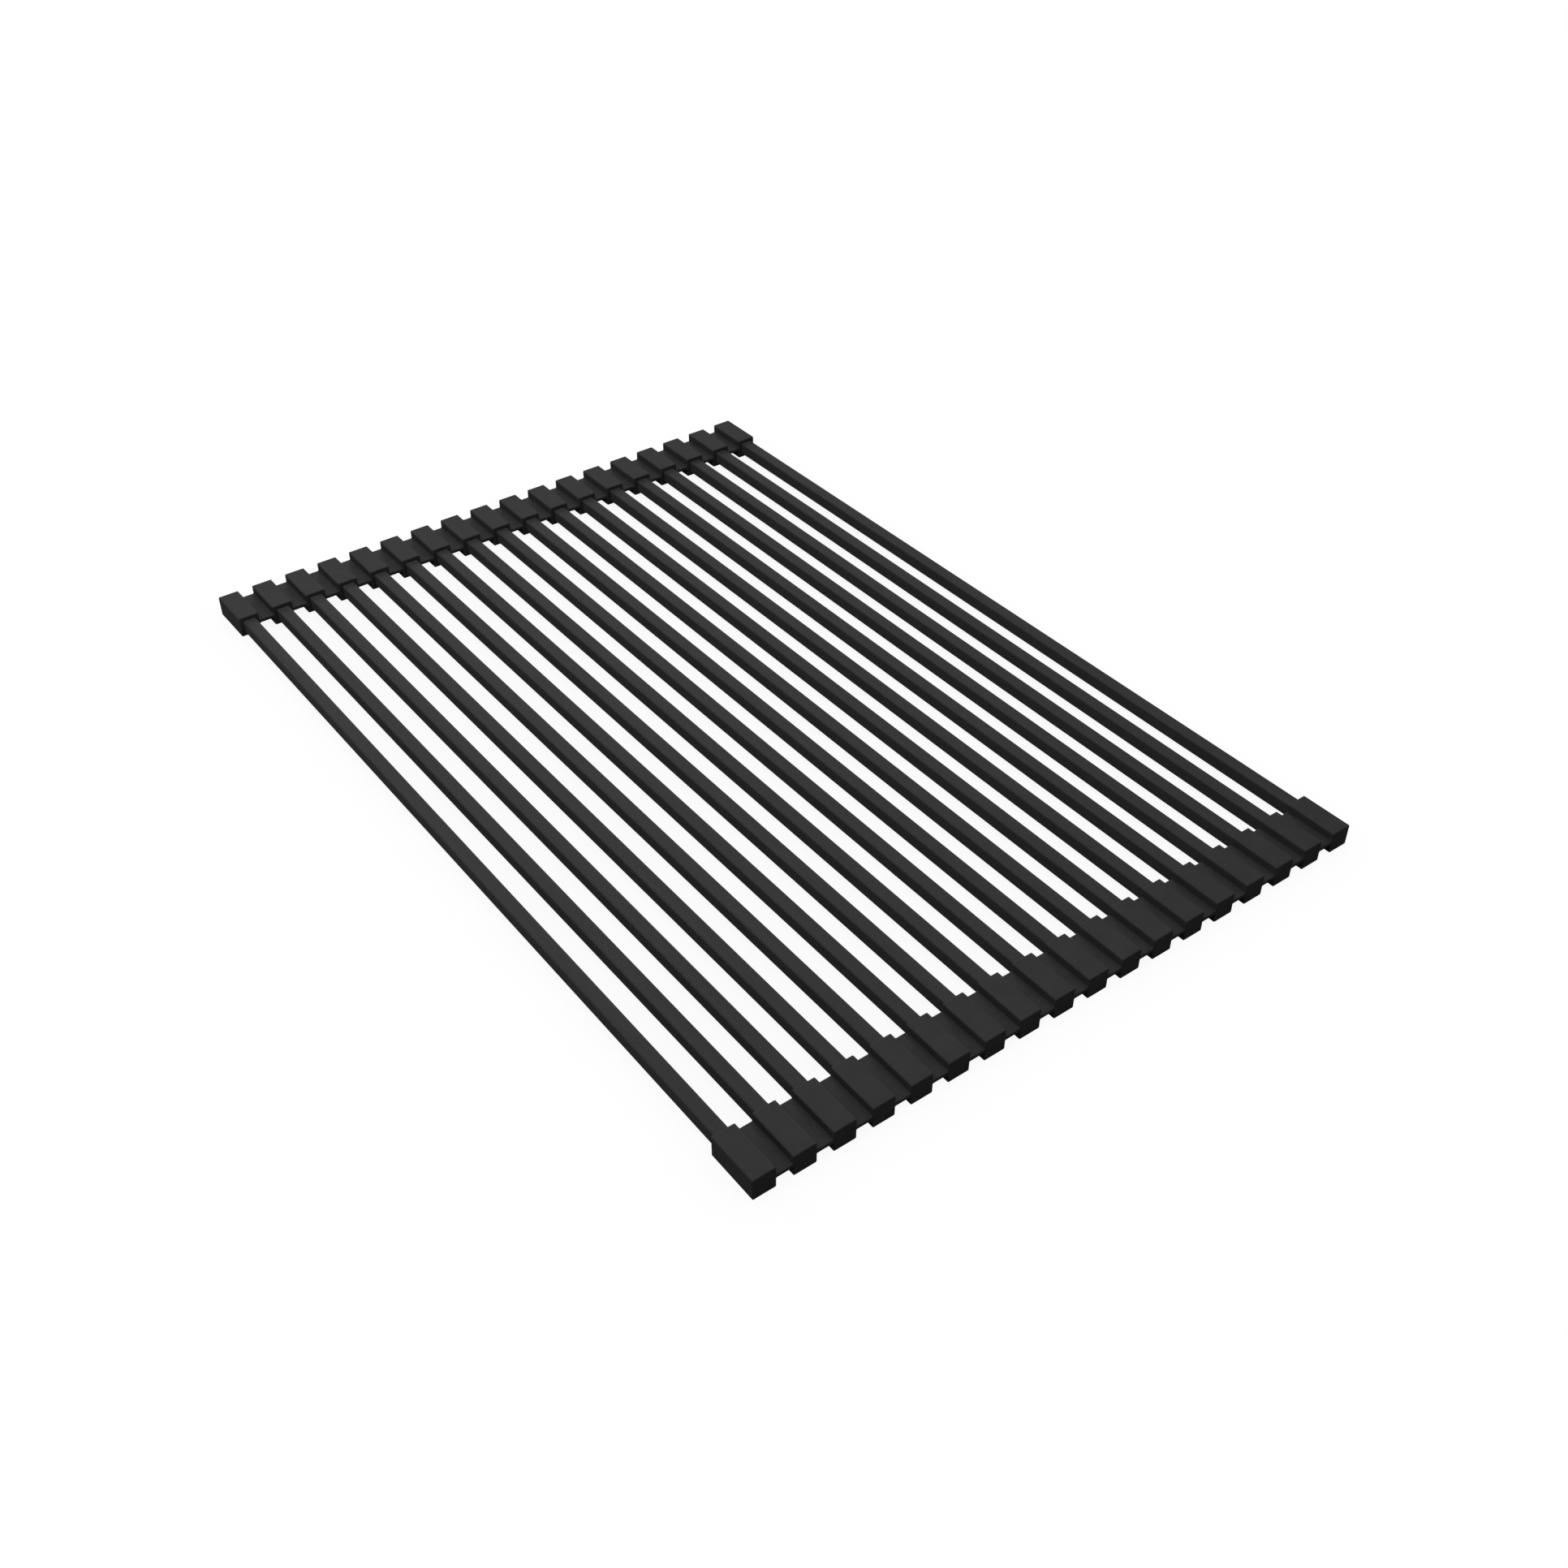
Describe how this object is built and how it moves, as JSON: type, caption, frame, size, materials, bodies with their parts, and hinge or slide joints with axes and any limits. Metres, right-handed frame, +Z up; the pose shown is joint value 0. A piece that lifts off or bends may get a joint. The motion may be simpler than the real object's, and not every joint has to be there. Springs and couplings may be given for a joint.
{
  "type": "roll up dish drying rack",
  "caption": "Flat drying rack of parallel square bars whose ends sit in soft end strips of rectangular sockets, joined by thin webs that let the rack roll up into a spiral.",
  "frame": {"origin": "on the worktop, under the middle of the flat rack", "axes": "+X along the bars, +Y across the bars from the first bar to the last, +Z up"},
  "size_m": [0.4586, 0.3166, 0.0105],
  "materials": {
    "bars": "matte dark coating",
    "strips": "matte moulded silicone"
  },
  "bodies": {
    "link_01": {"bar_01": "bars", "socket_near_01": "strips", "socket_far_01": "strips"},
    "link_02": {"bar_02": "bars", "socket_near_02": "strips", "socket_far_02": "strips"},
    "link_03": {"bar_03": "bars", "socket_near_03": "strips", "socket_far_03": "strips"},
    "link_04": {"bar_04": "bars", "socket_near_04": "strips", "socket_far_04": "strips"},
    "link_05": {"bar_05": "bars", "socket_near_05": "strips", "socket_far_05": "strips"},
    "link_06": {"bar_06": "bars", "socket_near_06": "strips", "socket_far_06": "strips"},
    "link_07": {"bar_07": "bars", "socket_near_07": "strips", "socket_far_07": "strips"},
    "link_08": {"bar_08": "bars", "socket_near_08": "strips", "socket_far_08": "strips"},
    "link_09": {"bar_09": "bars", "socket_near_09": "strips", "socket_far_09": "strips"},
    "link_10": {"bar_10": "bars", "socket_near_10": "strips", "socket_far_10": "strips"},
    "link_11": {"bar_11": "bars", "socket_near_11": "strips", "socket_far_11": "strips"},
    "link_12": {"bar_12": "bars", "socket_near_12": "strips", "socket_far_12": "strips"},
    "link_13": {"bar_13": "bars", "socket_near_13": "strips", "socket_far_13": "strips"},
    "link_14": {"bar_14": "bars", "socket_near_14": "strips", "socket_far_14": "strips"},
    "link_15": {"bar_15": "bars", "socket_near_15": "strips", "socket_far_15": "strips"},
    "link_16": {"bar_16": "bars", "socket_near_16": "strips", "socket_far_16": "strips"},
    "link_17": {"bar_17": "bars", "socket_near_17": "strips", "socket_far_17": "strips"},
    "link_18": {"bar_18": "bars", "socket_near_18": "strips", "socket_far_18": "strips"}
  },
  "joints": [
    {"name": "roll_01", "type": "hinge", "parent": "link_02", "child": "link_01", "pos_m": [0, -0.144, 0.00525], "axis": [-1, 0, 0], "range_deg": [-25.6, 25.6]},
    {"name": "roll_02", "type": "hinge", "parent": "link_03", "child": "link_02", "pos_m": [0, -0.126, 0.00525], "axis": [-1, 0, 0], "range_deg": [-26.2, 26.2]},
    {"name": "roll_03", "type": "hinge", "parent": "link_04", "child": "link_03", "pos_m": [0, -0.108, 0.00525], "axis": [-1, 0, 0], "range_deg": [-26.8, 26.8]},
    {"name": "roll_04", "type": "hinge", "parent": "link_05", "child": "link_04", "pos_m": [0, -0.09, 0.00525], "axis": [-1, 0, 0], "range_deg": [-27.5, 27.5]},
    {"name": "roll_05", "type": "hinge", "parent": "link_06", "child": "link_05", "pos_m": [0, -0.072, 0.00525], "axis": [-1, 0, 0], "range_deg": [-28.2, 28.2]},
    {"name": "roll_06", "type": "hinge", "parent": "link_07", "child": "link_06", "pos_m": [0, -0.054, 0.00525], "axis": [-1, 0, 0], "range_deg": [-29.1, 29.1]},
    {"name": "roll_07", "type": "hinge", "parent": "link_08", "child": "link_07", "pos_m": [0, -0.036, 0.00525], "axis": [-1, 0, 0], "range_deg": [-30, 30]},
    {"name": "roll_08", "type": "hinge", "parent": "link_09", "child": "link_08", "pos_m": [0, -0.018, 0.00525], "axis": [-1, 0, 0], "range_deg": [-31, 31]},
    {"name": "roll_09", "type": "hinge", "parent": "link_10", "child": "link_09", "pos_m": [0, 0, 0.00525], "axis": [-1, 0, 0], "range_deg": [-32, 32]},
    {"name": "roll_10", "type": "hinge", "parent": "link_10", "child": "link_11", "pos_m": [0, 0.018, 0.00525], "axis": [1, 0, 0], "range_deg": [-33.3, 33.3]},
    {"name": "roll_11", "type": "hinge", "parent": "link_11", "child": "link_12", "pos_m": [0, 0.036, 0.00525], "axis": [1, 0, 0], "range_deg": [-34.6, 34.6]},
    {"name": "roll_12", "type": "hinge", "parent": "link_12", "child": "link_13", "pos_m": [0, 0.054, 0.00525], "axis": [1, 0, 0], "range_deg": [-36.2, 36.2]},
    {"name": "roll_13", "type": "hinge", "parent": "link_13", "child": "link_14", "pos_m": [0, 0.072, 0.00525], "axis": [1, 0, 0], "range_deg": [-38, 38]},
    {"name": "roll_14", "type": "hinge", "parent": "link_14", "child": "link_15", "pos_m": [0, 0.09, 0.00525], "axis": [1, 0, 0], "range_deg": [-40, 40]},
    {"name": "roll_15", "type": "hinge", "parent": "link_15", "child": "link_16", "pos_m": [0, 0.108, 0.00525], "axis": [1, 0, 0], "range_deg": [-42.5, 42.5]},
    {"name": "roll_16", "type": "hinge", "parent": "link_16", "child": "link_17", "pos_m": [0, 0.126, 0.00525], "axis": [1, 0, 0], "range_deg": [-45.4, 45.4]},
    {"name": "roll_17", "type": "hinge", "parent": "link_17", "child": "link_18", "pos_m": [0, 0.144, 0.00525], "axis": [1, 0, 0], "range_deg": [-49.1, 49.1]}
  ],
  "couplings": [
    {"joint": "roll_01", "follows": "roll_09", "ratio": 0.797},
    {"joint": "roll_02", "follows": "roll_09", "ratio": 0.816},
    {"joint": "roll_03", "follows": "roll_09", "ratio": 0.836},
    {"joint": "roll_04", "follows": "roll_09", "ratio": 0.858},
    {"joint": "roll_05", "follows": "roll_09", "ratio": 0.881},
    {"joint": "roll_06", "follows": "roll_09", "ratio": 0.907},
    {"joint": "roll_07", "follows": "roll_09", "ratio": 0.935},
    {"joint": "roll_08", "follows": "roll_09", "ratio": 0.966},
    {"joint": "roll_10", "follows": "roll_09", "ratio": 1.038},
    {"joint": "roll_11", "follows": "roll_09", "ratio": 1.081},
    {"joint": "roll_12", "follows": "roll_09", "ratio": 1.129},
    {"joint": "roll_13", "follows": "roll_09", "ratio": 1.185},
    {"joint": "roll_14", "follows": "roll_09", "ratio": 1.249},
    {"joint": "roll_15", "follows": "roll_09", "ratio": 1.326},
    {"joint": "roll_16", "follows": "roll_09", "ratio": 1.418},
    {"joint": "roll_17", "follows": "roll_09", "ratio": 1.533}
  ]
}
